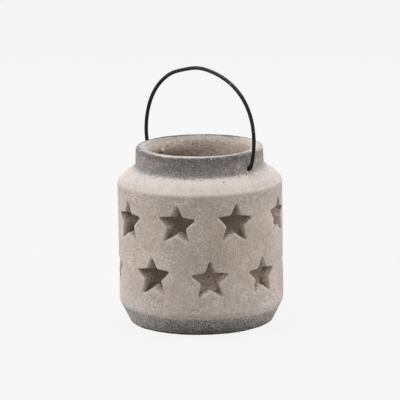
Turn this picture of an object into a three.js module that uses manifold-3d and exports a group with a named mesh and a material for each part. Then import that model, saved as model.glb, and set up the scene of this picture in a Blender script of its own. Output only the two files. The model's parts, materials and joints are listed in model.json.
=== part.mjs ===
// Star lantern: a thick cast jar pierced by two rows of stars, carried by a wire bail hooked into its neck.
// Millimetres, +Z up. The origin is the centre of the flat base, and the bail swings about an axis along X.
import * as THREE from 'three';
import { mergeVertices } from 'three/addons/utils/BufferGeometryUtils.js';
import Module from 'manifold-3d';

// Outside of the jar, from the table up
const bodyRadius = 70;
const baseRound = 8;
const chamferAngle = 27; // degrees from upright
const chamferHeight = 19.5;
const chamferRound = 8;
const wallHeight = 102.3; // from the chamfer's top to the shoulder's edge
const shoulderEdgeRound = 3.5;
const shoulderRise = 12.2;
const shoulderCrown = 2; // how far the shoulder swells over a straight cone
const shoulderCrownRound = 30;
const neckRadius = 54.2;
const neckFillet = 2;
const neckHeight = 17;
const rimOuterRound = 2.5;
const rimInnerRound = 3;

// Inside of the jar
const wallThickness = 10;
const neckThickness = 10;
const shoulderThickness = 10;
const floorThickness = 11;
const floorRound = 14;
const innerShoulderRound = 5;

// Star cut-outs, which narrow towards the inside
const starsPerRow = 8;
const starPoints = 5;
const starTipRadius = 17.2; // before the tips are rounded
const starNotchRadius = 8.2;
const starTipRound = 0.5;
const starNotchRound = 1.5;
const starDraft = 8; // degrees
const lowerRowRise = 29.5; // lower row's centres above the chamfer's top
const upperRowDrop = 25.8; // upper row's centres under the shoulder's edge

// Wire bail, which turns loosely in two holes low in the neck
const wireDiameter = 3;
const holeClearance = 0.6; // all round the wire
const holeRise = 3; // hole's axis above the foot of the neck
const bailRise = 81; // wire's crown above the holes' axis
const bailBend = 3; // radius of the bend at each hole
const bailBendInset = 0.6; // how far inside the hole's mouth the bend begins
const hookBend = 3; // radius of the bend inside the neck
const hookTip = 3; // straight wire beyond that bend
const hookGap = 1.2; // between the turned-up tips and the neck's bore

// Facets
const jarSides = 64;
const holeSides = 24;
const wireSides = 12;
const jarArcStep = 22.5; // degrees per facet of a rounded edge
const starArcStep = 40;
const bendArcStep = 15;
const hoopArcStep = 5;
const weldDistance = 1e-4;
const cutMargin = 4; // how far a cutter runs past the faces that it cuts

// Heights and radii that follow from the sizes above
const shoulderEdgeHeight = chamferHeight + wallHeight;
const neckFoot = shoulderEdgeHeight + shoulderRise;
const jarHeight = neckFoot + neckHeight;
const boreRadius = neckRadius - neckThickness;
const cavityRadius = bodyRadius - wallThickness;
const lowerRowHeight = chamferHeight + lowerRowRise;
const upperRowHeight = shoulderEdgeHeight - upperRowDrop;
const hingeHeight = neckFoot + holeRise;
const wireRadius = wireDiameter / 2;
const holeRadius = wireRadius + holeClearance;

const wasm = await Module();
wasm.setup();

const radians = THREE.MathUtils.degToRad;

// Points on an arc about a centre, from one angle to another, both ends included
function arcPoints(centre, radius, from, to, stepDegrees) {
  const steps = Math.max(1, Math.ceil(Math.abs(to - from) / radians(stepDegrees)));
  const points = [];
  for (let i = 0; i <= steps; i++) {
    const angle = from + (to - from) * i / steps;
    points.push(new THREE.Vector2(Math.cos(angle), Math.sin(angle)).multiplyScalar(radius).add(centre));
  }
  return points;
}

// One corner of an outline, rounded by an arc that stops short of the middle of its shorter side
function roundedCorner(before, corner, after, round, stepDegrees) {
  const back = before.clone().sub(corner);
  const ahead = after.clone().sub(corner);
  const longest = Math.min(back.length(), ahead.length()) / 2;
  back.normalize();
  ahead.normalize();
  const half = Math.acos(THREE.MathUtils.clamp(back.dot(ahead), -1, 1)) / 2;
  const reach = Math.min(round / Math.tan(half), longest);
  const radius = reach * Math.tan(half);
  const middle = back.clone().add(ahead).normalize();
  const centre = middle.multiplyScalar(radius / Math.sin(half)).add(corner);
  const from = back.multiplyScalar(reach).add(corner).sub(centre).angle();
  const to = ahead.multiplyScalar(reach).add(corner).sub(centre).angle();
  const turn = THREE.MathUtils.euclideanModulo(to - from + Math.PI, 2 * Math.PI) - Math.PI;
  return arcPoints(centre, radius, from, from + turn, stepDegrees);
}

// Points of an outline given as corners [x, y, round]; an open one keeps its two ends
function roundedOutline(corners, closed, stepDegrees) {
  const places = corners.map(([x, y]) => new THREE.Vector2(x, y));
  const count = corners.length;
  return corners.flatMap(([, , round], i) => {
    const isEnd = !closed && (i === 0 || i === count - 1);
    if (isEnd || !round) return [places[i]];
    const before = places[(i + count - 1) % count];
    const after = places[(i + 1) % count];
    return roundedCorner(before, places[i], after, round, stepDegrees);
  });
}

// A closed geometry as a solid that can be cut
function solidOf(geometry) {
  const plain = geometry.clone();
  plain.deleteAttribute('normal');
  plain.deleteAttribute('uv');
  const welded = mergeVertices(plain, weldDistance);
  const corners = welded.index.array;
  const triVerts = [];
  for (let i = 0; i < corners.length; i += 3) {
    const [a, b, c] = corners.slice(i, i + 3);
    if (a !== b && b !== c && c !== a) triVerts.push(a, b, c);
  }
  return new wasm.Manifold(new wasm.Mesh({
    numProp: 3,
    vertProperties: new Float32Array(welded.attributes.position.array),
    triVerts: new Uint32Array(triVerts),
  }));
}

// A cut solid as a geometry again
function geometryOf(solid) {
  const { vertProperties, triVerts } = solid.getMesh();
  const geometry = new THREE.BufferGeometry();
  geometry.setAttribute('position', new THREE.BufferAttribute(new Float32Array(vertProperties), 3));
  geometry.setIndex(new THREE.BufferAttribute(new Uint32Array(triVerts), 1));
  geometry.computeVertexNormals();
  return geometry;
}

// Half section of the jar as [radius, height, round], from the middle of the base round to the inside floor
function jarSection() {
  const baseRadius = bodyRadius - chamferHeight * Math.tan(radians(chamferAngle));
  const shoulderRun = bodyRadius - neckRadius;
  const shoulderLength = Math.hypot(shoulderRun, shoulderRise);
  const outward = new THREE.Vector2(shoulderRise, shoulderRun).divideScalar(shoulderLength);
  const crownRadius = (bodyRadius + neckRadius) / 2 + outward.x * shoulderCrown;
  const crownHeight = shoulderEdgeHeight + shoulderRise / 2 + outward.y * shoulderCrown;
  // The inside of the shoulder is a cone that runs parallel to the outside, one thickness below it
  const coneHeight = (radius) => {
    const alongNeck = neckRadius - radius - outward.x * shoulderThickness;
    return neckFoot - outward.y * shoulderThickness + alongNeck * shoulderRise / shoulderRun;
  };
  return [
    [0, 0, 0],
    [baseRadius, 0, baseRound],
    [bodyRadius, chamferHeight, chamferRound],
    [bodyRadius, shoulderEdgeHeight, shoulderEdgeRound],
    [crownRadius, crownHeight, shoulderCrownRound],
    [neckRadius, neckFoot, neckFillet],
    [neckRadius, jarHeight, rimOuterRound],
    [boreRadius, jarHeight, rimInnerRound],
    [boreRadius, coneHeight(boreRadius), innerShoulderRound],
    [cavityRadius, coneHeight(cavityRadius), innerShoulderRound],
    [cavityRadius, floorThickness, floorRound],
    [0, floorThickness, 0],
  ];
}

// Star with eased tips and notches, one tip up
function starShape() {
  const corners = [];
  for (let i = 0; i < 2 * starPoints; i++) {
    const angle = Math.PI / 2 + i * Math.PI / starPoints;
    const isTip = i % 2 === 0;
    const radius = isTip ? starTipRadius : starNotchRadius;
    const round = isTip ? starTipRound : starNotchRound;
    corners.push([radius * Math.cos(angle), radius * Math.sin(angle), round]);
  }
  return new THREE.Shape(roundedOutline(corners, true, starArcStep));
}

// Tapered star cutter that enters the wall at a polar angle and a height and points at the jar's axis
function starCutter(polarAngle, height) {
  const depth = wallThickness + 2 * cutMargin;
  const cutter = new THREE.ExtrudeGeometry(starShape(), { depth, bevelEnabled: false });
  const tip = new THREE.Vector2(starTipRadius, 0);
  const notch = new THREE.Vector2(starNotchRadius, 0).rotateAround(new THREE.Vector2(), Math.PI / starPoints);
  const flankDistance = tip.cross(notch) / tip.distanceTo(notch);
  const position = cutter.attributes.position;
  for (let i = 0; i < position.count; i++) {
    const inward = position.getZ(i) - cutMargin;
    const scale = 1 - inward * Math.tan(radians(starDraft)) / flankDistance;
    position.setXY(i, position.getX(i) * scale, position.getY(i) * scale);
  }
  const outward = new THREE.Vector3(Math.cos(polarAngle), Math.sin(polarAngle), 0);
  const up = new THREE.Vector3(0, 0, 1);
  const inwards = outward.clone().negate();
  const place = new THREE.Matrix4().makeBasis(up.clone().cross(inwards), up, inwards);
  place.setPosition(outward.multiplyScalar(bodyRadius + cutMargin).setZ(height));
  return cutter.applyMatrix4(place);
}

// Round cutter along X that drills both of the bail's holes
function bailHoleCutter() {
  const length = 2 * (neckRadius + cutMargin);
  const cutter = new THREE.CylinderGeometry(holeRadius, holeRadius, length, holeSides);
  return cutter.rotateZ(Math.PI / 2).translate(0, 0, hingeHeight);
}

function castJar() {
  const section = roundedOutline(jarSection(), false, jarArcStep);
  const turned = new THREE.LatheGeometry(section, jarSides).rotateX(Math.PI / 2);
  const pitch = 2 * Math.PI / starsPerRow;
  let jar = solidOf(turned).subtract(solidOf(bailHoleCutter()));
  for (let i = 0; i < starsPerRow; i++) {
    jar = jar.subtract(solidOf(starCutter(i * pitch, lowerRowHeight)));
    jar = jar.subtract(solidOf(starCutter((i + 0.5) * pitch, upperRowHeight)));
  }
  const cement = new THREE.MeshStandardMaterial({ color: '#b3a597', roughness: 0.95, metalness: 0 });
  const mesh = new THREE.Mesh(geometryOf(jar), cement);
  mesh.name = 'cast_jar';
  return mesh;
}

// Path through given stations, each of them one step of an extrusion
class StationPath extends THREE.Curve {
  constructor(stations) {
    super();
    this.stations = stations;
  }

  getPoint(t, target = new THREE.Vector3()) {
    const last = this.stations.length - 1;
    const place = THREE.MathUtils.clamp(t, 0, 1) * last;
    const start = Math.min(Math.floor(place), last - 1);
    return target.lerpVectors(this.stations[start], this.stations[start + 1], place - start);
  }

  getPointAt(u, target) {
    return this.getPoint(u, target);
  }

  getTangentAt(u, target) {
    return this.getTangent(u, target);
  }
}

// Right half of the bail's centreline in its own plane, from the hook's tip to the crown, hinge at height 0.
// A round hoop runs into a small bend at the neck, a pin through the hole, and a hook turned up inside.
function bailHalf() {
  const bendX = neckRadius - bailBendInset;
  const spare = bailRise - bailBend;
  const hoopRadius = (bendX ** 2 + spare ** 2 - bailBend ** 2) / (2 * (spare - bailBend));
  const hoopHeight = bailRise - hoopRadius;
  const hookX = boreRadius - hookGap - wireRadius;
  const hookCentre = new THREE.Vector2(hookX + hookBend, hookBend);
  const bendCentre = new THREE.Vector2(bendX, bailBend);
  const hoopCentre = new THREE.Vector2(0, hoopHeight);
  const meeting = Math.atan2(bailBend - hoopHeight, bendX);
  return [
    new THREE.Vector2(hookX, hookBend + hookTip),
    ...arcPoints(hookCentre, hookBend, Math.PI, 1.5 * Math.PI, bendArcStep),
    ...arcPoints(bendCentre, bailBend, -Math.PI / 2, meeting, bendArcStep),
    ...arcPoints(hoopCentre, hoopRadius, meeting, Math.PI / 2, hoopArcStep).slice(1),
  ];
}

function wireBail() {
  const right = bailHalf();
  const left = right.slice(0, -1).map((point) => new THREE.Vector2(-point.x, point.y));
  const stations = [...left, ...right.reverse()].map(({ x, y }) => new THREE.Vector3(x, 0, y));
  const section = arcPoints(new THREE.Vector2(), wireRadius, 0, 2 * Math.PI, 360 / wireSides).slice(1);
  const wire = new THREE.ExtrudeGeometry(new THREE.Shape(section), {
    extrudePath: new StationPath(stations),
    steps: stations.length - 1,
    bevelEnabled: false,
  });
  const blackPaint = new THREE.MeshStandardMaterial({ color: '#25231f', roughness: 0.5, metalness: 0.3 });
  const mesh = new THREE.Mesh(wire, blackPaint);
  mesh.name = 'wire_bail';
  mesh.position.z = hingeHeight;
  return mesh;
}

const lantern = new THREE.Group();
lantern.add(castJar(), wireBail());

export default lantern;
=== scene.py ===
import json
import math
import random
from types import SimpleNamespace

import bmesh
import bpy
from mathutils import Matrix, Vector, kdtree


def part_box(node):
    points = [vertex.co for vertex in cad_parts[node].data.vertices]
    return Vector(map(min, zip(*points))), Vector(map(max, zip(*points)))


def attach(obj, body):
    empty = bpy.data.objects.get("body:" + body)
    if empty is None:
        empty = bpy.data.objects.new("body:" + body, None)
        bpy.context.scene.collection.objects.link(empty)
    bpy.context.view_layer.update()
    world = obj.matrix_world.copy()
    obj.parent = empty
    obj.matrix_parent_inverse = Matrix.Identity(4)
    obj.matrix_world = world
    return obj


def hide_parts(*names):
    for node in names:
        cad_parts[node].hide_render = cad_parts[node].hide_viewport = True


# Star lantern: a cast cement jar with two rows of star windows, carried by a black wire bail
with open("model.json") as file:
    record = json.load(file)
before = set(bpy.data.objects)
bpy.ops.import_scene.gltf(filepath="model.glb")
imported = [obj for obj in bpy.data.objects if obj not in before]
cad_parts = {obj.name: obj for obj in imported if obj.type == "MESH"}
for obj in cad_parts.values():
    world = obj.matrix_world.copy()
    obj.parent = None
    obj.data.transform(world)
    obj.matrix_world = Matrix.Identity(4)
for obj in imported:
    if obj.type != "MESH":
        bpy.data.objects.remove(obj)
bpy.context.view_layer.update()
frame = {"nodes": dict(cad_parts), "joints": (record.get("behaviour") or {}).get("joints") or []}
mm = 0.001  # sizes below are in millimetres unless a note says otherwise
weld = 1e-6  # metres; points closer than this are merged
scene = bpy.context.scene
print("frame loaded:", sorted(frame["nodes"]))


# Small helpers

def linkPiece(name, bm):
    mesh = bpy.data.meshes.new(name)
    bm.to_mesh(mesh)
    bm.free()
    piece = bpy.data.objects.new(name, mesh)
    scene.collection.objects.link(piece)
    return piece


def bakeModifiers(piece):
    baked = bpy.data.meshes.new_from_object(piece.evaluated_get(bpy.context.evaluated_depsgraph_get()))
    baked.name = piece.name
    piece.modifiers.clear()
    piece.data = baked


def easeEdges(bm, edges, ease, segments):
    bmesh.ops.bevel(
        bm, geom=edges, offset=ease * mm, offset_type="OFFSET", segments=segments,
        profile=0.5, affect="EDGES", material=-1,
    )


def pointTree(verts):
    tree = kdtree.KDTree(len(verts))
    for index, vert in enumerate(verts):
        tree.insert(vert.co, index)
    tree.balance()
    return tree


def towards(azimuth, elevation):  # unit vector to a viewer; azimuth 0 stands at -Y
    around, up = math.radians(azimuth), math.radians(elevation)
    return Vector((math.sin(around) * math.cos(up), -math.cos(around) * math.cos(up), math.sin(up)))


# Camera, at the photograph's angle, for a square frame

cameraView = {
    "azimuth": 40.5,
    "elevation": 12.4,
    "distance": 3.0,  # metres
    "pivotHeight": 76,  # the two angles are taken about this point of the axis
    "aimHeight": 103.65,
    "aimRight": -0.13,
    "roll": -0.82,
    "lens": 317.4,
    "sensor": 36,
    "clipEnd": 50,  # metres
}


def addCamera():
    view = cameraView
    lens = bpy.data.cameras.new("photoCamera")
    lens.sensor_width = view["sensor"]
    lens.lens = view["lens"]
    lens.clip_end = view["clipEnd"]
    camera = bpy.data.objects.new("photoCamera", lens)
    scene.collection.objects.link(camera)
    out = towards(view["azimuth"], view["elevation"])
    right = towards(view["azimuth"] + 90, 0)
    camera.location = Vector((0, 0, view["pivotHeight"] * mm)) + out * view["distance"]
    aim = Vector((0, 0, view["aimHeight"] * mm)) + right * view["aimRight"] * mm
    look = (aim - camera.location).to_track_quat("-Z", "Y").to_matrix()
    turn = look @ Matrix.Rotation(math.radians(view["roll"]), 3, "Z")
    camera.rotation_euler = turn.to_euler()
    scene.camera = camera


addCamera()
print("camera in place")


# Cast jar: spun outline, star windows and bail holes cut through, then weathered like a rough casting

jarLow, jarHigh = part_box("cast_jar")
hinge = Vector(frame["joints"][0]["pos_m"])

jarForm = {
    "body": jarHigh.x / mm,
    "height": jarHigh.z / mm,
    "chamferRun": 9.6,
    "chamferRise": 19.5,
    "shoulderEdge": 121.8,
    "neckFoot": 134.0,
    "neck": 53.8,
    "neckFlare": (0.9, 0.3),  # how much wider the neck is at its foot and its rim
    "wall": 10.0,
    "shoulderSwell": 2.0,
    "floor": 11.0,
    "innerDrop": 4.9,  # how far the inside of the shoulder lies under the foot and the edge outside
    "ease": {
        "base": 2.4, "chamfer": 1.4, "shoulderEdge": 1.3, "swell": 4.9, "neckFoot": 1.9,
        "rim": 2.2, "mouth": 4.2, "bore": 2.4, "ceiling": 2.4, "floor": 13.8,
    },
    "steps": 128,
    "easeSegments": 6,
    "snug": 0.05,  # how near a corner its ring is looked for
    "holeRadius": 2.3,
    "holeSides": 32,
}


def jarOutline():  # corners as radius, height, ease
    form = jarForm
    body, neck, wall = form["body"], form["neck"], form["wall"]
    edge, foot = form["shoulderEdge"], form["neckFoot"]
    ease = form["ease"]
    slope = Vector((foot - edge, body - neck)).normalized() * form["shoulderSwell"]
    return [
        (0, 0, 0),
        (body - form["chamferRun"], 0, ease["base"]),
        (body, form["chamferRise"], ease["chamfer"]),
        (body, edge, ease["shoulderEdge"]),
        ((body + neck) / 2 + slope.x, (edge + foot) / 2 + slope.y, ease["swell"]),
        (neck + form["neckFlare"][0], foot, ease["neckFoot"]),
        (neck + form["neckFlare"][1], form["height"], ease["rim"]),
        (neck - wall, form["height"], ease["mouth"]),
        (neck - wall, foot - form["innerDrop"], ease["bore"]),
        (body - wall, edge - form["innerDrop"], ease["ceiling"]),
        (body - wall, form["floor"], ease["floor"]),
        (0, form["floor"], 0),
    ]


def easeRing(bm, radius, height, ease):
    snug = jarForm["snug"] * mm

    def onRing(vert):
        near = abs(math.hypot(vert.co.x, vert.co.y) - radius * mm) < snug
        return near and abs(vert.co.z - height * mm) < snug
    ring = [edge for edge in bm.edges if onRing(edge.verts[0]) and onRing(edge.verts[1])]
    easeEdges(bm, ring, ease, jarForm["easeSegments"])


def spunJar():
    bm = bmesh.new()
    corners = jarOutline()
    verts = [bm.verts.new((radius * mm, 0, height * mm)) for radius, height, ease in corners]
    edges = [bm.edges.new(pair) for pair in zip(verts, verts[1:])]
    bmesh.ops.spin(
        bm, geom=verts + edges, cent=(0, 0, 0), axis=(0, 0, 1), angle=math.tau,
        steps=jarForm["steps"], use_merge=True,
    )
    bmesh.ops.remove_doubles(bm, verts=bm.verts, dist=weld)
    for radius, height, ease in corners:
        if ease:
            easeRing(bm, radius, height, ease)
    bmesh.ops.recalc_face_normals(bm, faces=bm.faces)
    return linkPiece("castJar", bm)


starForm = {
    "points": 5,
    "reach": (0.99, 1.03, 1.1, 1.1, 1.03),  # head, left arm, left leg, right leg, right arm
    "notch": 0.49,  # of the tip's radius
    "tipRound": 0.2,
    "notchRound": 0.9,
    "roundSegments": 3,
    "draft": 13.0,  # degrees, narrower inside
    "margin": 4.0,  # cutter past the wall on both sides
}
# What the hand did to each star, going round: slip sideways (degrees), rise, lean (degrees, clockwise),
# the radius of the tips, and skew, how far the cut strays to the right for each millimetre inwards
starRows = (
    {
        "height": 49.0,
        "start": 0.0,
        "slip": (-1.8, 0.8, -1.2, 1.6, -0.4, 1.0, 4.5, 2.2),
        "rise": (-0.7, 0.4, -0.6, 0.2, 0.7, -0.2, 1.1, -0.3),
        "lean": (1.0, -2.0, 1.5, 0.0, -1.0, 0.5, -2.0, -1.0),
        "tip": (17.0, 17.2, 16.9, 17.6, 17.0, 17.2, 18.2, 17.7),
        "skew": (0.0, 0.1, -0.15, 0.2, -0.1, 0.15, 0.0, -0.22),
    },
    {
        "height": 96.0,
        "start": 22.5,
        "slip": (-2.0, 1.2, -0.8, 0.5, -1.5, 2.3, 1.0, -2.0),
        "rise": (-0.3, 0.5, -0.7, 0.3, 0.6, -2.5, 0.2, 0.5),
        "lean": (3.5, 1.0, -1.5, 2.0, -0.5, -1.5, 2.2, 3.8),
        "tip": (17.2, 17.1, 17.5, 16.8, 17.2, 18.8, 17.7, 17.7),
        "skew": (0.0, -0.15, 0.1, -0.1, 0.2, 0.0, 0.21, 0.0),
    },
)


def starTaper(tip):  # change of a star's size per millimetre of depth
    half = math.pi / starForm["points"]
    notch = tip * starForm["notch"]
    flank = Vector((tip - notch * math.cos(half), -notch * math.sin(half)))
    flankDistance = tip * notch * math.sin(half) / flank.length
    return math.tan(math.radians(starForm["draft"])) / flankDistance


def drawStar(bm, tip, lean):  # flat and upright but for its lean
    form = starForm
    bmesh.ops.create_circle(bm, cap_ends=True, segments=2 * form["points"], radius=tip * mm)
    outer = bm.verts[:]
    for vert, reach in zip(outer[0::2], form["reach"]):
        vert.co *= reach
    bmesh.ops.scale(bm, verts=outer[1::2], vec=Vector((1, 1, 1)) * form["notch"])
    first = math.atan2(outer[0].co.y, outer[0].co.x)
    upright = Matrix.Rotation(math.pi / 2 - first - math.radians(lean), 3, "Z")
    bmesh.ops.rotate(bm, verts=outer, matrix=upright)
    return outer


def starBlock(polar, height, lean, tip, skew):
    form = starForm
    depth = jarForm["wall"] + 2 * form["margin"]
    taper = starTaper(tip)
    bm = bmesh.new()
    outer = drawStar(bm, tip, lean)
    hollowShade = bmesh.ops.extrude_face_region(bm, geom=bm.faces[:], use_keep_orig=True)["geom"]
    inner = [item for item in hollowShade if isinstance(item, bmesh.types.BMVert)]
    bmesh.ops.translate(bm, verts=outer, vec=(0, 0, form["margin"] * mm))
    bmesh.ops.translate(bm, verts=inner, vec=(0, 0, (form["margin"] - depth) * mm))
    for vert in bm.verts:
        size = 1 + vert.co.z / mm * taper
        vert.co.x = vert.co.x * size - vert.co.z * skew
        vert.co.y *= size
    corners = [edge for vert in outer for edge in vert.link_edges if edge.other_vert(vert) in inner]
    for group, ease in ((corners[0::2], form["tipRound"]), (corners[1::2], form["notchRound"])):
        easeEdges(bm, group, ease, form["roundSegments"])
    right = Vector((-math.sin(polar), math.cos(polar), 0))
    outward = Vector((math.cos(polar), math.sin(polar), 0))
    place = Matrix((right, (0, 0, 1), outward)).transposed().to_4x4()
    place.translation = outward * jarForm["body"] * mm + Vector((0, 0, height * mm))
    bmesh.ops.transform(bm, matrix=place, verts=bm.verts)
    block = bpy.data.meshes.new("starBlock")
    bm.to_mesh(block)
    bm.free()
    return block


def windowCutter():
    bm = bmesh.new()
    for row in starRows:
        pitch = 360 / len(row["slip"])
        hands = zip(row["slip"], row["rise"], row["lean"], row["tip"], row["skew"])
        for count, (slip, rise, lean, tip, skew) in enumerate(hands):
            polar = math.radians(row["start"] + count * pitch + slip)
            bm.from_mesh(starBlock(polar, row["height"] + rise, lean, tip, skew))
    reach = 2 * (jarForm["neck"] + starForm["margin"]) * mm
    bore = jarForm["holeRadius"] * mm
    drill = Matrix.Translation((0, 0, hinge.z)) @ Matrix.Rotation(math.pi / 2, 4, "Y")
    bmesh.ops.create_cone(
        bm, cap_ends=True, segments=jarForm["holeSides"], radius1=bore, radius2=bore,
        depth=reach, matrix=drill,
    )
    bmesh.ops.recalc_face_normals(bm, faces=bm.faces)
    return linkPiece("windowCutter", bm)


castSkin = {
    "voxel": 0.64,
    "smoothing": 2,
    "wobble": {"size": 55, "depth": 0.55},  # slow unevenness of the mould
    "lumps": {"size": 9, "depth": 0.32},  # trowelled, sandy relief
    "core": {"size": 2.6, "depth": 1.1},  # torn walls of the star windows
    "proud": 0.75,  # share of all this relief that sinks in
    "detail": 2,
    "wallMargin": 4,  # what is left out of the wall's height at both ends
    "coreMargins": (1.2, 1.0),  # the torn walls lie this far from the outer and the inner face
    "lip": 1.7,  # width of the worn lips of the star windows
    "lipDepth": 4,
    "lipFacing": (0.2, 0.85),  # a lip's points look this much outwards
    "lipPasses": 3,
    "pits": 90,
    "pitRadius": (0.6, 1.3),
    "pitDepth": 0.8,  # of its radius
    "chips": 30,
    "chipRadius": (1.2, 2.8),
    "chipDepth": (0.1, 0.22),  # of its radius
    "triangles": 185000,
    "crumb": 100,  # points, under which a loose bit is no part of the casting
    "wearPasses": 14,
    "seed": 11,
}


def addRelief(piece, name, relief):
    clouds = bpy.data.textures.new(name, "CLOUDS")
    clouds.noise_scale = relief["size"] * mm
    clouds.noise_depth = castSkin["detail"]
    push = piece.modifiers.new(name, "DISPLACE")
    push.texture = clouds
    push.texture_coords = "LOCAL"
    push.mid_level = castSkin["proud"]
    push.strength = relief["depth"] * mm
    return push


def dent(verts, tree, centre, radius, depth):
    inward = verts[tree.find(centre)[1]].normal.copy()
    for _, index, distance in tree.find_range(centre, radius):
        fall = (1 - (distance / radius) ** 2) ** 2
        verts[index].co -= inward * depth * fall


def relax(bm, verts, passes):
    for _ in range(passes):
        bmesh.ops.smooth_vert(
            bm, verts=verts, factor=0.5, use_axis_x=True, use_axis_y=True, use_axis_z=True,
        )


def inWall(point, inner, outer):  # a point of the wall between two radii
    low = jarForm["chamferRise"] + castSkin["wallMargin"]
    high = jarForm["shoulderEdge"] - castSkin["wallMargin"]
    return low < point.z / mm < high and inner < point.xy.length / mm < outer


def easeWindows(bm):  # wears the lips of the star windows round
    skin = castSkin
    steep, flat = skin["lipFacing"]
    outer = [v for v in bm.verts if inWall(v.co, jarForm["body"] - skin["lipDepth"], math.inf)]
    lips = [v for v in outer if steep < v.normal.xy.dot(v.co.xy.normalized()) < flat]
    tree = pointTree(lips)
    relax(bm, [v for v in outer if tree.find(v.co)[2] < skin["lip"] * mm], skin["lipPasses"])


def weatherJar(piece):
    skin = castSkin
    luck = random.Random(skin["seed"])
    bm = bmesh.new()
    bm.from_mesh(piece.data)
    relax(bm, bm.verts, skin["smoothing"])
    bm.normal_update()
    easeWindows(bm)
    bm.normal_update()
    bm.verts.ensure_lookup_table()
    tree = pointTree(bm.verts)
    for _ in range(skin["pits"]):  # air holes in the cast face
        spot = bm.verts[luck.randrange(len(bm.verts))].co.copy()
        radius = luck.uniform(*skin["pitRadius"]) * mm
        dent(bm.verts, tree, spot, radius, radius * skin["pitDepth"])
    for _ in range(skin["chips"]):  # knocks along the rim
        turn = luck.uniform(0, math.tau)
        rim = luck.choice((jarForm["neck"], jarForm["neck"] - jarForm["wall"])) * mm
        spot = Vector((math.cos(turn) * rim, math.sin(turn) * rim, jarForm["height"] * mm))
        radius = luck.uniform(*skin["chipRadius"]) * mm
        dent(bm.verts, tree, spot, radius, radius * luck.uniform(*skin["chipDepth"]))
    bm.to_mesh(piece.data)
    bm.free()


def markCore(piece):  # the torn walls of the star windows, between the outer and the inner face
    fromOuter, fromInner = castSkin["coreMargins"]
    outer, inner = jarForm["body"] - fromOuter, jarForm["body"] - jarForm["wall"] + fromInner
    group = piece.vertex_groups.new(name="core")
    group.add([vert.index for vert in piece.data.vertices if inWall(vert.co, inner, outer)], 1.0, "REPLACE")
    return group.name


def dropCrumbs(piece):  # grains that the remesh left loose in the tips of the stars
    bm = bmesh.new()
    bm.from_mesh(piece.data)
    unseen = set(bm.verts)
    crumbs = []
    for vert in bm.verts:
        if vert in unseen:
            unseen.remove(vert)
            grain = [vert]
            for member in grain:  # grows while neighbours join
                joined = [edge.other_vert(member) for edge in member.link_edges]
                joined = [other for other in joined if other in unseen]
                unseen.difference_update(joined)
                grain += joined
            if len(grain) < castSkin["crumb"]:
                crumbs += grain
    bmesh.ops.delete(bm, geom=crumbs, context="VERTS")
    bm.to_mesh(piece.data)
    bm.free()


def markWear(piece):  # how far each point stands out from a smoothed copy, in millimetres
    bm = bmesh.new()
    bm.from_mesh(piece.data)
    relax(bm, bm.verts, castSkin["wearPasses"])
    pairs = zip(piece.data.vertices, bm.verts)
    wear = [(point.co - vert.co).dot(point.normal) / mm for point, vert in pairs]
    bm.free()
    piece.data.attributes.new("edgeWear", "FLOAT", "POINT").data.foreach_set("value", wear)


def makeJar():
    jar = spunJar()
    cutter = windowCutter()
    cut = jar.modifiers.new("windows", "BOOLEAN")
    cut.object = cutter
    cut.operation = "DIFFERENCE"
    cut.solver = "EXACT"
    rough = jar.modifiers.new("evenMesh", "REMESH")
    rough.mode = "VOXEL"
    rough.voxel_size = castSkin["voxel"] * mm
    bakeModifiers(jar)
    bpy.data.objects.remove(cutter)
    print("jar cut:", len(jar.data.vertices), "points")
    weatherJar(jar)
    addRelief(jar, "wobble", castSkin["wobble"])
    addRelief(jar, "lumps", castSkin["lumps"])
    addRelief(jar, "core", castSkin["core"]).vertex_group = markCore(jar)
    thin = jar.modifiers.new("thin", "DECIMATE")
    thin.ratio = min(1.0, castSkin["triangles"] / (2 * len(jar.data.polygons)))
    bakeModifiers(jar)
    dropCrumbs(jar)
    for point in jar.data.vertices:  # the base stands flat
        point.co.z = max(point.co.z, 0.0)
    jar.data.shade_smooth()
    markWear(jar)
    print("jar weathered:", len(jar.data.polygons), "faces")
    return jar


# Wire bail: one wire bent round a hook, a pin, a small bend at the neck and a hoop, then mirrored

wireForm = {
    "radius": 1.6,  # with its coat of paint
    "sides": 18,
    "hookX": 41.5,
    "hookTip": 3.0,
    "bend": 3.0,
    "bendSteps": 8,
    "pinEnd": 53.6,
    "hoopSteps": 48,
    # The hand-bent hoop is no true circle: where and how wide in degrees, and how far out
    "kinks": ((0, 105, -0.6), (-48, 38, 1.0), (-15, 18, -0.75), (55, 45, 2.1)),
    "cutEase": 0.25,
    "cutSegments": 2,
    "cutDepth": 0.3,  # of bare steel at a cut end
    "hooksWithin": 44.0,  # of the middle
}


def boundaryRing(geom):
    return [item for item in geom if isinstance(item, bmesh.types.BMEdge)]


def ringVerts(ring):
    return list({vert for edge in ring for vert in edge.verts})


def runWire(bm, ring, step):
    grown = bmesh.ops.extrude_edge_only(bm, edges=ring)["geom"]
    ring = boundaryRing(grown)
    ring = [edge for edge in ring if all(vert in grown for vert in edge.verts)]
    bmesh.ops.translate(bm, verts=ringVerts(ring), vec=step)
    return ring


def bendWire(bm, ring, centre, degrees, steps):  # anticlockwise seen from -Y
    turned = bmesh.ops.spin(
        bm, geom=ring + ringVerts(ring), cent=centre, axis=(0, 1, 0),
        angle=-math.radians(degrees), steps=steps,
    )
    return boundaryRing(turned["geom_last"])


def kinkHoop(bm, middle):
    for vert in bm.verts:
        out = Vector((vert.co.x, 0, vert.co.z - middle * mm))
        lean = math.degrees(math.atan2(out.x, out.z))
        swell = 0.0
        for turn, width, bulge in wireForm["kinks"]:
            if abs(lean - turn) < width:
                swell += bulge * (0.5 + 0.5 * math.cos(math.pi * (lean - turn) / width))
        vert.co += out.normalized() * swell * mm


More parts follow.
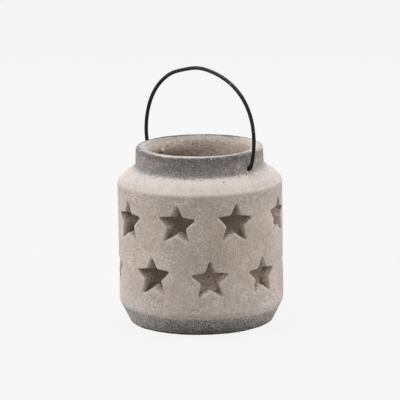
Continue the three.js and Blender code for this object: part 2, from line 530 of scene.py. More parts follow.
def markCutEnds(bail):
    form = wireForm
    tip = hinge.z / mm + form["bend"] + form["hookTip"]

    def isCut(point):
        return abs(point.x / mm) < form["hooksWithin"] and abs(point.z / mm - tip) < form["cutDepth"]
    bare = [float(isCut(vert.co)) for vert in bail.data.vertices]
    bail.data.attributes.new("cutEnd", "FLOAT", "POINT").data.foreach_set("value", bare)


def makeBail():
    form = wireForm
    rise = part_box("wire_bail")[1].z / mm - form["radius"] - hinge.z / mm
    spare = rise - form["bend"]
    hoop = (form["pinEnd"] ** 2 + spare ** 2 - form["bend"] ** 2) / (2 * (spare - form["bend"]))
    hoopHeight = rise - hoop
    meeting = math.degrees(math.atan2(form["bend"] - hoopHeight, form["pinEnd"]))
    bm = bmesh.new()
    top = Matrix.Translation((form["hookX"] * mm, 0, (form["bend"] + form["hookTip"]) * mm))
    start = bmesh.ops.create_circle(bm, segments=form["sides"], radius=form["radius"] * mm, matrix=top)
    ring = list({edge for vert in start["verts"] for edge in vert.link_edges})
    ring = runWire(bm, ring, (0, 0, -form["hookTip"] * mm))
    hookCentre = ((form["hookX"] + form["bend"]) * mm, 0, form["bend"] * mm)
    ring = bendWire(bm, ring, hookCentre, 90, form["bendSteps"])
    ring = runWire(bm, ring, ((form["pinEnd"] - form["hookX"] - form["bend"]) * mm, 0, 0))
    neckBend = (form["pinEnd"] * mm, 0, form["bend"] * mm)
    ring = bendWire(bm, ring, neckBend, 90 + meeting, form["bendSteps"])
    bendWire(bm, ring, (0, 0, hoopHeight * mm), 90 - meeting, form["hoopSteps"])
    bmesh.ops.mirror(bm, geom=bm.verts[:] + bm.edges[:] + bm.faces[:], axis="X", merge_dist=weld)
    bmesh.ops.remove_doubles(bm, verts=bm.verts, dist=weld)
    openEnds = [edge for edge in bm.edges if edge.is_boundary]
    ends = bmesh.ops.holes_fill(bm, edges=openEnds, sides=0)["faces"]
    easeEdges(bm, [edge for face in ends for edge in face.edges], form["cutEase"], form["cutSegments"])
    bmesh.ops.recalc_face_normals(bm, faces=bm.faces)
    kinkHoop(bm, hoopHeight)
    bmesh.ops.translate(bm, verts=bm.verts, vec=hinge)
    bail = linkPiece("wireBail", bm)
    markCutEnds(bail)
    bail.data.shade_smooth()
    print("bail bent:", len(bail.data.polygons), "faces")
    return bail


# Node helpers for the materials

def newMaterial(name):
    material = bpy.data.materials.new(name)
    material.use_nodes = True
    material.node_tree.nodes.clear()
    return material, material.node_tree


def placeNode(tree, kind, inputs=None, **settings):
    made = tree.nodes.new("ShaderNode" + kind)
    for name, value in settings.items():
        setattr(made, name, value)
    for socket, value in (inputs or {}).items():
        if isinstance(value, bpy.types.NodeSocket):
            tree.links.new(value, made.inputs[socket])
        else:
            made.inputs[socket].default_value = value
    return made


def addNode(kind, inputs, **settings):  # in the tree that its inputs come from
    feeds = [value for value in inputs.values() if isinstance(value, bpy.types.NodeSocket)]
    return placeNode(feeds[0].id_data, kind, inputs, **settings)


def combine(operation, first, second=0.0, third=0.0):
    made = addNode("Math", {0: first, 1: second, 2: third}, operation=operation)
    return made.outputs[0]


def times(first, *others):
    for other in others:
        first = combine("MULTIPLY", first, other)
    return first


def offset(value, middle):  # how far a value lies from another, either way
    return combine("ABSOLUTE", combine("SUBTRACT", value, middle))


def aboutZero(value):  # for noise, which lies about a half
    return combine("SUBTRACT", value, 0.5)


def apart(place, spot):  # how far two points lie from each other
    return addNode("VectorMath", {0: place, 1: spot}, operation="DISTANCE").outputs["Value"]


def stretch(value, low, high, toLow=0.0, toHigh=1.0, ease="SMOOTHSTEP"):
    sockets = {"Value": value, "From Min": low, "From Max": high, "To Min": toLow, "To Max": toHigh}
    return addNode("MapRange", sockets, interpolation_type=ease).outputs["Result"]


def between(mask, without, within):  # a value outside the mask and one inside
    return stretch(mask, 0.0, 1.0, without, within)


def tint(mask, first, second, blend="MIX"):
    made = addNode("Mix", {0: mask, 6: first, 7: second}, data_type="RGBA", blend_type=blend)
    return made.outputs[2]


def shade(colour, tone, share=1.0):
    return tint(share, colour, tone, "MULTIPLY")


def noise(place, size, detail=2.0, rough=0.5):  # size is the size of one patch
    sockets = {"Vector": place, "Scale": 1 / (size * mm), "Detail": detail, "Roughness": rough}
    return addNode("TexNoise", sockets).outputs["Fac"]


def newMask(name, *values):  # a node group that makes a mask from a place and these values
    group = bpy.data.node_groups.new(name, "ShaderNodeTree")
    group.interface.new_socket("Place", in_out="INPUT", socket_type="NodeSocketVector")
    for value in values:
        group.interface.new_socket(value, in_out="INPUT", socket_type="NodeSocketFloat")
    group.interface.new_socket("Mask", in_out="OUTPUT", socket_type="NodeSocketFloat")
    return group, group.nodes.new("NodeGroupInput").outputs, group.nodes.new("NodeGroupOutput").inputs


def makeSpecks():  # round grains scattered thinly, for sand and air holes
    group, given, result = newMask("specks", "Scale", "Share", "Radius")
    cells = addNode("TexVoronoi", {"Vector": given["Place"], "Scale": given["Scale"]})
    pick = addNode("SeparateColor", {"Color": cells.outputs["Color"]}).outputs[0]
    chosen = combine("LESS_THAN", pick, given["Share"])
    core = combine("MULTIPLY", given["Radius"], 0.5)
    near = stretch(cells.outputs["Distance"], core, given["Radius"], 1.0, 0.0)
    group.links.new(combine("MULTIPLY", chosen, near), result["Mask"])
    return group


def makePatches():  # soft patches of a given size, where Share says how much they cover
    group, given, result = newMask("patches", "Scale", "Share", "Softness")
    sockets = {"Vector": given["Place"], "Scale": given["Scale"], "Detail": 5.0, "Roughness": 0.6}
    cloud = addNode("TexNoise", sockets).outputs["Fac"]
    level = combine("SUBTRACT", 1.0, given["Share"])
    top = combine("ADD", level, given["Softness"])
    group.links.new(stretch(cloud, level, top), result["Mask"])
    return group


specks = makeSpecks()
patches = makePatches()


def useMask(group, place, *values):
    sockets = dict(enumerate((place, *values)))
    return addNode("Group", sockets, node_tree=group).outputs["Mask"]


# Cement: sandy, mottled, with a grey wash on the neck and the foot that is worn off the edges.
# A range says where it starts and ends and, if it has four numbers, the values there.
# Noise is size, detail and roughness; patches are scale, share, softness; specks scale, share, radius.

cementLook = {
    "nearSideAzimuth": 130.5,  # azimuth of the near side; the far side lies opposite, and painted light lifts the wash towards both
    "rubbedSide": 26.5,  # azimuth where the rim is rubbed most
    "pooledAndShadedSide": 218,  # azimuth where the wash pooled on the rim, and where painted shade darkens the rim's outer edge most
    "faceStep": (127.9, 128.1),  # height from which depth is taken from the neck's face, not the body's
    "shoulder": (119.5, 122.5),
    "wallFoot": (20, 24),
    "wallTop": (121, 118),
    "underRim": (152, 148.6),
    "rimStray": 3,  # how far the sand breaks up that edge
    "sand": (1.7, 2, 0.6),
    "jag": (1.5, 3, 0.7),
    "slow": (34, 1),
    "shift": (0.3, 0.1, 0.2),  # to a second set of specks, in metres
    "drawn": (1, 1, 2.4),  # squeezes noise into level streaks
    "grit": (0.84, 0.80, 0.76, 1),
    "stain": (0.23, 0.17, 0.13, 1),
    "wash": (0.165, 0.162, 0.16, 1),
    "grain": (0.9, 3, 0.65),
    "roughness": (0.3, 0.7, 0.86, 0.97),
    "gritRise": 0.35,
    "holeSink": -1.2,
    "bump": 0.4,
    "bumpHeight": 0.6,
    "specular": 0.2,
    "chalky": 0.7,
}


def distanceTo(place, azimuth):  # how far a point lies out from the axis on that side, in millimetres
    sockets = {0: place, 1: towards(azimuth, 0) / mm}
    return addNode("VectorMath", sockets, operation="DOT_PRODUCT").outputs["Value"]


def measurePoint(tree):  # what the layers need to know of a point, in millimetres
    look = cementLook
    place = placeNode(tree, "TexCoord").outputs["Object"]
    axes = addNode("SeparateXYZ", {"Vector": place}).outputs
    flat = addNode("CombineXYZ", {"X": axes["X"], "Y": axes["Y"]}).outputs[0]
    radius = addNode("VectorMath", {0: flat}, operation="LENGTH").outputs["Value"]
    height = combine("MULTIPLY", axes["Z"], 1 / mm)
    side = distanceTo(place, look["nearSideAzimuth"])
    face = stretch(height, *look["faceStep"], jarForm["body"], jarForm["neck"])
    sand = noise(place, *look["sand"])
    strayed = combine("MULTIPLY_ADD", sand, look["rimStray"], height)
    wallFoot = stretch(height, *look["wallFoot"])
    facing = placeNode(tree, "NewGeometry").outputs["Normal"]
    return SimpleNamespace(
        place=place,
        shifted=addNode("VectorMath", {0: place, 1: look["shift"]}, operation="ADD").outputs[0],
        drawn=addNode("VectorMath", {0: place, 1: look["drawn"]}, operation="MULTIPLY").outputs[0],
        height=height,
        depth=combine("SUBTRACT", face, times(radius, 1 / mm)),  # under the outer face
        side=side,
        aside=combine("ABSOLUTE", side),
        rubbed=distanceTo(place, look["rubbedSide"]),
        pooledAndShaded=distanceTo(place, look["pooledAndShadedSide"]),
        upward=addNode("SeparateXYZ", {"Vector": facing}).outputs["Z"],
        wear=placeNode(tree, "Attribute", attribute_name="edgeWear").outputs["Fac"],
        sand=sand,
        jag=noise(place, *look["jag"]),
        slow=noise(place, *look["slow"]),
        shoulder=stretch(height, *look["shoulder"]),
        onWall=times(wallFoot, stretch(height, *look["wallTop"])),
        underRim=stretch(strayed, *look["underRim"]),
    )


# Bare cement: broad tone, blotches, sand, and painted light and shade

bareLook = {
    "pale": (0.715, 0.635, 0.58, 1),
    "sandy": (0.625, 0.545, 0.49, 1),
    "tone": (26, 0.62, 0.3),  # patches of the two
    # a paler, greyer colour for painted light on the shoulder and low on the near and far sides
    "paintedLightGrey": (0.71, 0.665, 0.638, 1),
    "shoulderPaintedLight": 0.7,
    "shoulderEnds": (26, 62),
    "shoulderEndShade": 0.85,
    "skirtPaintedLight": 0.6,  # painted light, low on the near and far sides
    "skirtSides": (36, 58),
    "skirtHeight": (36, 24),
    "blotchNoise": (8, 5, 0.62),
    "blotch": (0.3, 0.72, 0.9, 1.1),
    "shoulderBlotch": 0.4,
    "grainNoise": (0.95, 1),
    "sandShare": 0.55,
    "grainMean": 0.775,
    "calmSide": (10, 50, 1, 0.55),  # the sand's contrast at the wall's middle, less on the near side
    "wallMiddle": 72,
    "calmReach": (26, 44),
    "coarse": 1.5,  # and low and high on the wall
    "shoulderSand": 0.1,
    "sandPatch": (20, 1),
    "sandPatches": (0.35, 0.65, 0.4, 1.3),
    "topPaintedShade": (103, 119, 1, 0.935),
    "paintedShadePatch": (0.925, 0.905, 0.88, 1),  # painted shade: a darker patch on the wall between the rows
    "shadePatchSpot": (30, 80),  # its place: towards the near side, and up
    "shadePatchReach": (34, 12),
    "traceNoise": (4.5, 2, 0.5),
    "trace": (0.035, 0, 0, 0.5),  # thin pale lines
    "gritSpecks": (480, 0.13, 0.45),
    "gritCover": (0.6, 0.3),  # on the wall and on the shoulder
    "sootSpecks": (430, 0.12, 0.4),
    "sootCover": 0.3,
}


def sandContrast(at):
    look = bareLook
    calm = stretch(at.side, *look["calmSide"])
    offMiddle = offset(at.height, look["wallMiddle"])
    contrast = stretch(offMiddle, *look["calmReach"], calm, look["coarse"])
    patchy = stretch(noise(at.place, *look["sandPatch"]), *look["sandPatches"])
    return times(contrast, between(at.shoulder, 1.0, look["shoulderSand"]), patchy)


def paintBare(at):
    look = bareLook
    colour = tint(useMask(patches, at.place, *look["tone"]), look["sandy"], look["pale"])
    # painted light: the shoulder paler and greyer where the top light falls
    colour = tint(times(at.shoulder, look["shoulderPaintedLight"]), colour, look["paintedLightGrey"])
    # painted shade: the shoulder darker towards both sides
    ends = times(at.shoulder, stretch(at.aside, *look["shoulderEnds"]))
    colour = shade(colour, between(ends, 1.0, look["shoulderEndShade"]))
    skirt = stretch(at.aside, *look["skirtSides"])
    skirt = times(skirt, stretch(at.height, *look["skirtHeight"]), look["skirtPaintedLight"])
    colour = tint(skirt, colour, look["paintedLightGrey"])
    blotch = stretch(noise(at.place, *look["blotchNoise"]), *look["blotch"], "LINEAR")
    colour = shade(colour, blotch, between(at.shoulder, 1.0, look["shoulderBlotch"]))
    fine = noise(at.place, *look["grainNoise"])
    grains = combine("MULTIPLY_ADD", at.sand, look["sandShare"], fine)
    grains = combine("SUBTRACT", grains, look["grainMean"])
    colour = shade(colour, combine("MULTIPLY_ADD", grains, sandContrast(at), 1.0))
    # painted shade: darker towards the top of the wall, under the shoulder's edge
    colour = shade(colour, stretch(at.height, *look["topPaintedShade"]))
    # painted shade in a patch between the rows
    across = addNode("CombineXYZ", {"X": at.side, "Y": at.height}).outputs[0]
    paintedShadePatch = stretch(apart(across, (*look["shadePatchSpot"], 0)), *look["shadePatchReach"])
    colour = shade(colour, look["paintedShadePatch"], paintedShadePatch)
    trace = combine("ABSOLUTE", aboutZero(noise(at.place, *look["traceNoise"])))
    colour = tint(stretch(trace, *look["trace"]), colour, cementLook["grit"])
    grit = useMask(specks, at.place, *look["gritSpecks"])
    gritCover = between(at.shoulder, *look["gritCover"])
    colour = tint(times(grit, gritCover), colour, cementLook["grit"])
    sootAndShade = useMask(specks, at.shifted, *look["sootSpecks"])
    colour = tint(times(sootAndShade, look["sootCover"]), colour, cementLook["stain"])
    return colour, grit


# Inside: browner and darker, with smoke stains in the neck, painted shade low in the bore and on the far
# side, and painted light under the rim and low inside

insideLook = {
    "under": (7.5, 10),  # depth where the inside begins
    "aboveBase": (5, 7),
    "wall": (0.645, 0.532, 0.445, 1),
    "hearth": (0.82, 0.72, 0.635, 1),  # painted light, low, where the candle stands
    "hearthRise": (18, 48),
    "shadeMiddle": -4,  # painted shade up the middle, between the near and the far side
    "sootAndShade": (20, 34, 0.78, 1),
    "boreFarShade": (0.175, 0.132, 0.1, 1),  # painted shade at the foot of the bore on the far side
    "boreLow": (0.56, 0.475, 0.405, 1),  # and on the near side
    "boreFoot": (-36, 16),
    "bore": (0.8, 0.705, 0.635, 1),  # painted light under the rim
    "boreTone": (-30, 20, 0.96, 0.88),
    "boreRise": (134.5, 147),
    "throat": (118, 130),
    "smoke": (60, 0.52, 0.3),
    "smokeCover": (137, 146, 0.6, 0.3),
    "farShade": (-42, -12, 0.5, 1),  # painted shade, low on the far side
    "farRise": (52, 42),
    "crumbNoise": (3.4, 4, 0.7),
    "crumbContrast": (110, 130, 0.9, 1.9),
}


def paintInside(at, colour):
    look = insideLook
    inside = stretch(at.depth, *look["under"])
    inside = times(inside, stretch(at.height, *look["aboveBase"]), at.underRim)
    # painted light on the lower inside
    deep = tint(stretch(at.height, *look["hearthRise"]), look["hearth"], look["wall"])
    # painted shade up the middle of the inside
    deep = shade(deep, stretch(offset(at.side, look["shadeMiddle"]), *look["sootAndShade"]))
    # painted light and shade in the bore: dark low on the far side, light under the rim
    low = tint(stretch(at.side, *look["boreFoot"]), look["boreFarShade"], look["boreLow"])
    high = shade(look["bore"], stretch(at.side, *look["boreTone"]))
    throat = tint(stretch(at.height, *look["boreRise"]), low, high)
    deep = tint(stretch(at.height, *look["throat"]), deep, throat)
    smoke = useMask(patches, at.drawn, *look["smoke"])
    smoke = times(smoke, stretch(at.height, *look["smokeCover"]))
    deep = tint(smoke, deep, cementLook["stain"])
    # painted shade low on the far side
    farShade = stretch(at.side, *look["farShade"])
    deep = shade(deep, farShade, stretch(at.height, *look["farRise"]))
    crumbs = aboutZero(noise(at.drawn, *look["crumbNoise"]))
    contrast = stretch(at.height, *look["crumbContrast"])
    deep = shade(deep, combine("MULTIPLY_ADD", crumbs, contrast, 1.0))
    return tint(inside, colour, deep), inside


# Torn walls of the star windows: coarse and darker, with painted shade deep in and on the far side, and
# painted light on the near side, the flanks and ledges. Pairs are for the lower and the upper row.

starWallLook = {
    "rows": (60, 85),  # heights in the lower and in the upper row
    "betweenRows": (72, 73),
    "stray": 2.4,
    "torn": (3, 5.2),  # depth where they begin, broken up by the sand
    "innerEdge": (10.2, 9.2),
    "pale": (0.62, 0.555, 0.505, 1),
    "dark": (0.37, 0.312, 0.27, 1),
    "coarseNoise": (1.9, 3, 0.65),
    "coarse": (0.36, 0.62),
    "gritNoise": (1.1, 2, 0.6),
    "grit": (0.32, 0.68, 0.72, 1.32),
    # painted shade deeper into the wall
    "deepShade": (2, 9, 1, 0.65),
    # painted shade on the far side
    "farShade": (-24, -44, 1, 0.88),
    "flanks": (19, -27),  # places across where they catch the light
    "flankTone": (5, 11, 1.26, 1),
    # painted light on walls towards the near side, by row
    "nearSide": (34, 62),
    "nearPaintedLight": (1.14, 1.6),
    "rowTone": (1.06, 0.94),
    "ledgePaintedLight": (0.1, 0.8, 1, 1.2),  # painted light on faces that look up
    "legs": (-4, -9),  # height from the star's middle
    "legFacing": (0.7, 0.2),
    "legAside": (56, 44),
    "legShade": (0.79, 0.78, 0.77, 1),
}


def paintStarWalls(at, colour):
    look = starWallLook

    def byRow(pair):
        return stretch(at.height, *look["rows"], *pair)
    torn = stretch(combine("MULTIPLY_ADD", at.sand, look["stray"], at.depth), *look["torn"])
    torn = times(torn, stretch(at.depth, *look["innerEdge"]), at.onWall)
    coarse = stretch(noise(at.place, *look["coarseNoise"]), *look["coarse"])
    core = tint(coarse, look["dark"], look["pale"])
    # grit, then painted shade deep in and on the far side, painted light on the flanks, the near side and
    # ledges, and a row tone
    tones = (
        stretch(noise(at.place, *look["gritNoise"]), *look["grit"], "LINEAR"),
        stretch(at.depth, *look["deepShade"]),
        stretch(at.side, *look["farShade"]),
        stretch(offset(at.side, byRow(look["flanks"])), *look["flankTone"]),
        stretch(at.side, *look["nearSide"], 1.0, byRow(look["nearPaintedLight"])),
        byRow(look["rowTone"]),
        stretch(at.upward, *look["ledgePaintedLight"]),
    )
    for tone in tones:
        core = shade(core, tone)
    lower, upper = (row["height"] for row in starRows)
    middle = stretch(at.height, *look["betweenRows"], lower, upper)
    level = combine("SUBTRACT", at.height, middle)
    legs = times(stretch(level, *look["legs"]), stretch(at.upward, *look["legFacing"]))
    legs = times(legs, stretch(at.aside, *look["legAside"]))
    core = shade(core, look["legShade"], legs)
    return tint(torn, colour, core)


# Wash on the neck and the foot: sprayed on, so its edge breaks up into grains. Painted light lifts it
# towards the sides, and painted shade darkens the rim's outer edge and the strip just over the floor.

washLook = {
    "ragged": 10.4,  # how far the edge strays with its grains
    "wavy": 3,  # and in slow waves
    "neckFrom": 133,
    "neckRagged": 0.7,
    "neckEdge": (-0.8, 0.8),
    "footUpTo": (15, 17.1, 14.4),  # in front, on the far side and on the near side
    "footFar": (-24, -44),
    "footNear": (42, 58),
    "footRagged": (-48, -8, 0.2, 0.8),  # cleaner on the far side
    "footEdge": (-0.6, 0.9),
    "footDyed": (0.60, 0.585, 0.575, 1),  # cement dyed under the foot's wash
    "footDye": 0.5,
    "parting": (100, 101),  # height between foot and neck
    "neckCover": (133, 149, 0.60, 0.93),
    "footCover": (16, 1, 0.41, 0.95),
    "grainNoise": (1.1, 1),
    "grain": (0.3, 0.7, -1, 1),
    "grains": (0.68, 0.26),  # on the foot and the neck
    "driftNoise": (14, 4),
    "drift": (0.3, 0.7, -0.14, 0.14),
    "sideLightReach": (26, 58),  # painted light lifts the wash towards both sides
    "farToNear": (-40, 40),
    "neckSideLight": (0.25, 0.38),  # on the far and the near side
    "footFarSideLight": (3, 16, 0.434, 0.155),  # by height
    "footNearSideLight": 0.25,
    "rimBand": (146, 149),
    "rimSideLight": (0.4, 1.4),
    "rimShadeAside": (48, 34),
    "farRimShade": (12, 42, 0.84, 0.5),  # painted shade on the outer edge of the rim, most on the far side
    "footContactShade": (0.4, 3, 0.45, 1),  # painted shade just over the floor
    "saltSpecks": (400, 0.3, 0.5),  # pale grains through the wash on the neck
    "saltCover": (16, 48, 0.12, 0.4),
}
rimLook = {
    "rubbedIn": (20, 52, 0, 2.4),  # how far the brink of the wash draws back over the rim
    "pooledOut": (8, 44, 0, 3.4),
    "brinkNoise": (5, 2),
    "brinkWavy": 2.4,
    "brinkRagged": 3,
    "brink": (5.1, 7.1),
    "cover": (41, 50, 0.55, 0.3),  # what is left on top, all round and where it is rubbed
    "coverGrain": (0.35, 0.65, -0.2, 0.2),
    "coverFront": (50, 40, 0, 0.09),  # a little more between the sides that painted light lifts
}


def rimBrink(at):  # 0 on the outer face, 1 past the edge of the wash on the rim
    look = rimLook
    brink = combine("ADD", at.depth, stretch(at.rubbed, *look["rubbedIn"]))
    brink = combine("SUBTRACT", brink, stretch(at.pooledAndShaded, *look["pooledOut"]))
    wavy = noise(at.place, *look["brinkNoise"])
    brink = combine("MULTIPLY_ADD", wavy, look["brinkWavy"], brink)
    return stretch(combine("MULTIPLY_ADD", at.sand, look["brinkRagged"], brink), *look["brink"])


def washOnNeck(at, edge, outside):
    above = combine("SUBTRACT", at.height, washLook["neckFrom"])
    above = combine("MULTIPLY_ADD", edge, washLook["neckRagged"], above)
    cover = stretch(at.rubbed, *rimLook["cover"])
    cover = combine("ADD", cover, stretch(at.jag, *rimLook["coverGrain"]))
    cover = combine("ADD", cover, stretch(at.aside, *rimLook["coverFront"]))
    overRim = times(combine("SUBTRACT", 1.0, at.underRim), cover)
    washed = stretch(above, *washLook["neckEdge"])
    return times(washed, combine("MAXIMUM", outside, overRim))


def washOnFoot(at, edge, inside):
    look = washLook
    front, far, near = look["footUpTo"]
    upTo = stretch(at.side, *look["footFar"], front, far)
    upTo = stretch(at.side, *look["footNear"], upTo, near)
    under = combine("SUBTRACT", upTo, at.height)
    under = combine("MULTIPLY_ADD", edge, stretch(at.side, *look["footRagged"]), under)
    washed = stretch(under, *look["footEdge"])
    return times(washed, combine("SUBTRACT", 1.0, inside))


def washCoverAndSideLight(at):  # how much of the wash a point holds, less towards the sides where painted light lifts it
    look = washLook

    def footOrNeck(foot, neck):
        return stretch(at.height, *look["parting"], foot, neck)

    def farOrNear(far, near):
        return stretch(at.side, *look["farToNear"], far, near)
    neckCover = stretch(at.height, *look["neckCover"], "LINEAR")
    cover = footOrNeck(stretch(at.height, *look["footCover"], "LINEAR"), neckCover)
    grain = stretch(noise(at.place, *look["grainNoise"]), *look["grain"], "LINEAR")
    grain = times(grain, footOrNeck(*look["grains"]))
    drift = stretch(noise(at.drawn, *look["driftNoise"]), *look["drift"], "LINEAR")
    cover = combine("ADD", cover, combine("ADD", grain, drift))
    # painted light: the wash lifted towards the near and far sides
    footSideLight = farOrNear(stretch(at.height, *look["footFarSideLight"]), look["footNearSideLight"])
    thin = footOrNeck(footSideLight, farOrNear(*look["neckSideLight"]))
    byRim = stretch(at.height, *look["rimBand"], 1.0, farOrNear(*look["rimSideLight"]))
    thin = times(stretch(at.aside, *look["sideLightReach"]), thin, byRim)
    cover = combine("SUBTRACT", cover, thin)
    return combine("MINIMUM", combine("MAXIMUM", cover, 0.0), 1.0)


def paintWashLightAndShade(at, colour, inside, brink):
    look = washLook
    outside = combine("SUBTRACT", 1.0, brink)
    edge = times(aboutZero(at.jag), look["ragged"])
    edge = combine("MULTIPLY_ADD", aboutZero(at.slow), look["wavy"], edge)
    onNeck = washOnNeck(at, edge, outside)
    onFoot = washOnFoot(at, edge, inside)
    colour = tint(times(onFoot, look["footDye"]), colour, look["footDyed"])
    washed = times(combine("MAXIMUM", onNeck, onFoot), washCoverAndSideLight(at))
    colour = tint(washed, colour, cementLook["wash"])
    # painted shade on the rim's outer edge, darkest on the far side
    rimBand = stretch(at.height, *look["rimBand"])
    rimShadeMask = times(outside, rimBand, stretch(at.aside, *look["rimShadeAside"]))
    colour = shade(colour, between(rimShadeMask, 1.0, stretch(at.pooledAndShaded, *look["farRimShade"])))
    # painted shade along the bottom edge
    colour = shade(colour, stretch(at.height, *look["footContactShade"]))
    salt = useMask(specks, at.shifted, *look["saltSpecks"])
    salt = times(salt, stretch(at.aside, *look["saltCover"]), onNeck)
    return tint(salt, colour, cementLook["grit"])


# Foot of the neck: crumbs of wash that fell there, and cement rubbed bare under the holes by the wire

neckFootLook = {
    "crumbs": (400, 0.4, 0.5),
    "crumbReach": (2.4, 0.4, 0, 0.85),
    "crumbPatches": (0.36, 0.52),
    "rubbed": (0.66, 0.63, 0.55, 1),
    "rubbedBelow": 4.5,  # the hole's middle
    "rubbedRagged": 5,
    "rubbedReach": (6, 3.5, 0, 0.7),
}


def paintNeckFoot(at, colour):
    look = neckFootLook
    fallen = useMask(specks, at.place, *look["crumbs"])
    astray = offset(at.height, washLook["neckFrom"])
    fallen = times(fallen, stretch(astray, *look["crumbReach"]))
    fallen = times(fallen, stretch(at.slow, *look["crumbPatches"]))
    colour = tint(fallen, colour, cementLook["wash"])
    mirrored = addNode("VectorMath", {0: at.place}, operation="ABSOLUTE").outputs[0]
    seat = Vector((jarForm["neck"] * mm, 0, hinge.z - look["rubbedBelow"] * mm))
    ragged = times(at.jag, look["rubbedRagged"])
    away = combine("MULTIPLY_ADD", apart(mirrored, seat), 1 / mm, ragged)
    return tint(stretch(away, *look["rubbedReach"]), colour, look["rubbed"])


# Wear: rubbed edges, white chips along the rim, air holes, with painted highlight on the star lips and
# painted shade in hollows

wearLook = {
    "wornAndHighlight": (0.78, 0.74, 0.70, 1),
    "belowNeck": (140, 134),
    "aboveFoot": (14, 22),
    "edges": (0.1, 0.45, 0, 0.4),  # by how far a point stands out
    "lipOuter": (0.7, 1.2),  # depth of the pale lips of the stars, worn and with painted highlight
    "lipInner": (2.3, 1.5),
    "lipWearAndHighlight": 0.3,
    "chips": (330, 0.1, 0.35),
    "chipRise": (147.5, 149, 0, 0.8),
    "flecks": ((235.4, 150.2), (50.8, 149.2), (68.4, 148.4)),  # white spots on the rim: azimuth and height
    "fleckReach": (1.6, 0.9, 0, 0.75),
    # dark of the air holes, also used for painted shade in hollows
    "hole": (0.13, 0.11, 0.095, 1),
    "holes": (210, 0.012, 0.26),
    "holeCover": 0.7,
    "hollowShade": (-0.15, -0.5),  # painted shade where a point lies back
    "hollowShadeCover": 0.4,
}


def paintWearHighlightAndShade(at, colour, brink):
    look = wearLook
    bare = combine("MAXIMUM", stretch(at.height, *look["belowNeck"]), brink)
    bare = times(bare, stretch(at.height, *look["aboveFoot"]))
    pale = times(stretch(at.wear, *look["edges"]), bare)
    # painted highlight along the star lips, with their wear
    lip = stretch(at.depth, *look["lipOuter"])
    lip = times(lip, stretch(at.depth, *look["lipInner"]), at.onWall, look["lipWearAndHighlight"])
    pale = combine("MAXIMUM", pale, lip)
    chips = useMask(specks, at.place, *look["chips"])
    chips = times(chips, stretch(at.height, *look["chipRise"]))
    for azimuth, level in look["flecks"]:
        spot = towards(azimuth, 0) * jarForm["neck"] * mm + Vector((0, 0, level * mm))
        away = combine("MULTIPLY_ADD", apart(at.place, spot), 1 / mm, at.sand)
        chips = combine("MAXIMUM", chips, stretch(away, *look["fleckReach"]))
    colour = tint(combine("MAXIMUM", pale, chips), colour, look["wornAndHighlight"])
    holes = useMask(specks, at.place, *look["holes"])
    # painted shade in hollows
    hollowShade = times(stretch(at.wear, *look["hollowShade"]), look["hollowShadeCover"])
    dark = combine("MAXIMUM", times(holes, look["holeCover"]), hollowShade)
    return tint(dark, colour, look["hole"]), holes


def makeCement():
    look = cementLook
    material, tree = newMaterial("castCement")
    at = measurePoint(tree)
    brink = rimBrink(at)
    colour, grit = paintBare(at)
    colour, inside = paintInside(at, colour)
    colour = paintStarWalls(at, colour)
    colour = paintWashLightAndShade(at, colour, inside, brink)
    colour = paintNeckFoot(at, colour)
    colour, holes = paintWearHighlightAndShade(at, colour, brink)
    grain = noise(at.place, *look["grain"])  # sand grains stand proud, air holes sink
    relief = combine("MULTIPLY_ADD", grit, look["gritRise"], grain)
    relief = combine("MULTIPLY_ADD", holes, look["holeSink"], relief)
    sockets = {"Strength": look["bump"], "Distance": look["bumpHeight"] * mm, "Height": relief}
    normal = addNode("Bump", sockets).outputs["Normal"]
    shader = addNode("BsdfPrincipled", {
        "Base Color": colour, "Roughness": stretch(grain, *look["roughness"]), "Normal": normal,
        "Specular IOR Level": look["specular"], "Diffuse Roughness": look["chalky"],
    })
    addNode("OutputMaterial", {"Surface": shader.outputs[0]})
    return material


# Black wire: satin paint, a little dusty, rubbed thin in spots and bare steel at the cut ends

wireLook = {
    "paint": (0.014, 0.013, 0.013, 1),
    "dusty": (0.028, 0.026, 0.025, 1),
    "steel": (0.72, 0.71, 0.69, 1),
    "dust": (160, 0.5, 0.3),
    "rubs": (330, 0.04, 0.35),
    "rubCover": 0.2,
    "smeared": (0.34, 0.27, 0.22, 1),  # cement on the hooked ends in the neck
    "smearNoise": (1.4, 2),
    "smearRagged": 2,
    "smearReach": (45, 43, 0, 0.85),
    "smearTop": 146,
    "roughness": (0.5, 0.62),  # of clean and of dusty paint
    "specular": 0.22,
    "peelNoise": (1.2, 2),
    "peel": 0.12,
    "peelHeight": 0.2,
}


def makeWirePaint():
    look = wireLook
    material, tree = newMaterial("blackWire")
    place = placeNode(tree, "TexCoord").outputs["Object"]
    dust = useMask(patches, place, *look["dust"])
    colour = tint(dust, look["paint"], look["dusty"])
    bare = placeNode(tree, "Attribute", attribute_name="cutEnd").outputs["Fac"]
    rubbed = useMask(specks, place, *look["rubs"])
    steel = combine("MAXIMUM", bare, times(rubbed, look["rubCover"]))
    axes = addNode("SeparateXYZ", {"Vector": place}).outputs
    across = times(combine("ABSOLUTE", axes["X"]), 1 / mm)
    ragged = noise(place, *look["smearNoise"])
    across = combine("MULTIPLY_ADD", ragged, look["smearRagged"], across)
    smear = stretch(across, *look["smearReach"])
    smear = times(smear, combine("LESS_THAN", axes["Z"], look["smearTop"] * mm))
    colour = tint(smear, colour, look["smeared"])
    colour = tint(steel, colour, look["steel"])
    rough = between(dust, *look["roughness"])
    peel = noise(place, *look["peelNoise"])
    sockets = {"Strength": look["peel"], "Distance": look["peelHeight"] * mm, "Height": peel}
    normal = addNode("Bump", sockets).outputs["Normal"]
    shader = addNode("BsdfPrincipled", {
        "Base Color": colour, "Roughness": rough, "Metallic": steel, "Normal": normal,
        "Specular IOR Level": look["specular"],
    })
    addNode("OutputMaterial", {"Surface": shader.outputs[0]})
    return material


# Build both pieces on their bodies

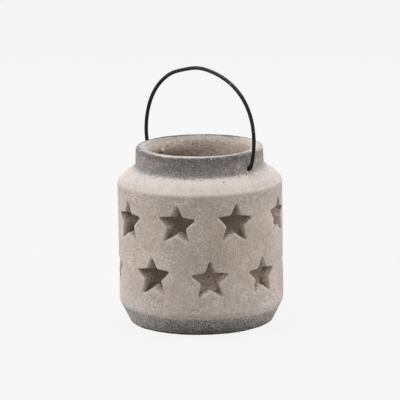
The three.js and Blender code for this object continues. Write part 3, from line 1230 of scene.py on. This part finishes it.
jar = makeJar()
jar.data.materials.append(makeCement())
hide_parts("cast_jar")
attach(jar, "jar")

bail = makeBail()
bail.data.materials.append(makeWirePaint())
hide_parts("wire_bail")
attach(bail, "bail")
print("pieces dressed")


# Floor and soft studio light

studio = {
    "floorSize": 12.0,  # metres
    "floorGlow": 0.884,  # pale floor as the camera sees it, before its share of the light
    "floorColour": (0.03, 0.03, 0.03, 1),
    "floorBounce": (0.3, 0.3, 0.3, 1),
    "backdrop": (0.938, 0.938, 0.938, 1),
    "ambient": 0.06,
}
# Soft boxes: turn to the right of the camera and rise in degrees, distance and size in metres, watts
softBoxes = {
    "top": (0, 88, 1.6, 1.3, 28, (1, 0.99, 0.98)),
    "left": (-88, 15, 1.6, 1.1, 13.8, (1, 0.98, 0.96)),
    "right": (88, 15, 1.6, 1.1, 16.1, (1, 0.98, 0.96)),
    "front": (-9, 15, 2.6, 1.2, 9, (1, 0.95, 0.9)),
    "high": (-70, 50, 1.8, 1.0, 4.2, (1, 0.99, 0.98)),
    "back": (180, 45, 1.8, 1.2, 16, (1, 0.97, 0.94)),
}


def makeFloor():
    bm = bmesh.new()
    bmesh.ops.create_grid(bm, x_segments=1, y_segments=1, size=studio["floorSize"] / 2)
    floor = linkPiece("paleFloor", bm)
    material, tree = newMaterial("paleFloor")
    seen = placeNode(tree, "LightPath").outputs["Is Camera Ray"]
    plain = placeNode(tree, "BsdfDiffuse", {"Color": studio["floorBounce"]}).outputs[0]
    lit = placeNode(tree, "BsdfDiffuse", {"Color": studio["floorColour"]}).outputs[0]
    glow = placeNode(tree, "Emission", {"Strength": studio["floorGlow"]}).outputs[0]
    shown = addNode("AddShader", {0: lit, 1: glow}).outputs[0]
    both = addNode("MixShader", {0: seen, 1: plain, 2: shown}).outputs[0]
    addNode("OutputMaterial", {"Surface": both})
    floor.data.materials.append(material)


def makeWorld():
    world = bpy.data.worlds.new("studio")
    world.use_nodes = True
    tree = world.node_tree
    tree.nodes.clear()
    seen = placeNode(tree, "LightPath").outputs["Is Camera Ray"]
    soft = placeNode(tree, "Background", {"Color": (1, 1, 1, 1), "Strength": studio["ambient"]}).outputs[0]
    shown = placeNode(tree, "Background", {"Color": studio["backdrop"], "Strength": 1.0}).outputs[0]
    both = addNode("MixShader", {0: seen, 1: soft, 2: shown}).outputs[0]
    addNode("OutputWorld", {"Surface": both})
    scene.world = world


def addSoftBox(name, turn, rise, distance, size, watts, colour):
    lamp = bpy.data.lights.new(name + "Box", "AREA")
    lamp.shape = "SQUARE"
    lamp.size = size
    lamp.energy = watts
    lamp.color = colour
    lampObject = bpy.data.objects.new(lamp.name, lamp)
    scene.collection.objects.link(lampObject)
    out = towards(cameraView["azimuth"] + turn, rise)
    lampObject.location = Vector((0, 0, cameraView["pivotHeight"] * mm)) + out * distance
    lampObject.rotation_euler = (-out).to_track_quat("-Z", "Y").to_euler()
    lampObject.visible_camera = False


makeFloor()
makeWorld()
for boxName, boxValues in softBoxes.items():
    addSoftBox(boxName, *boxValues)
scene.view_settings.view_transform = "Standard"
scene.view_settings.look = "None"
print("studio lit")
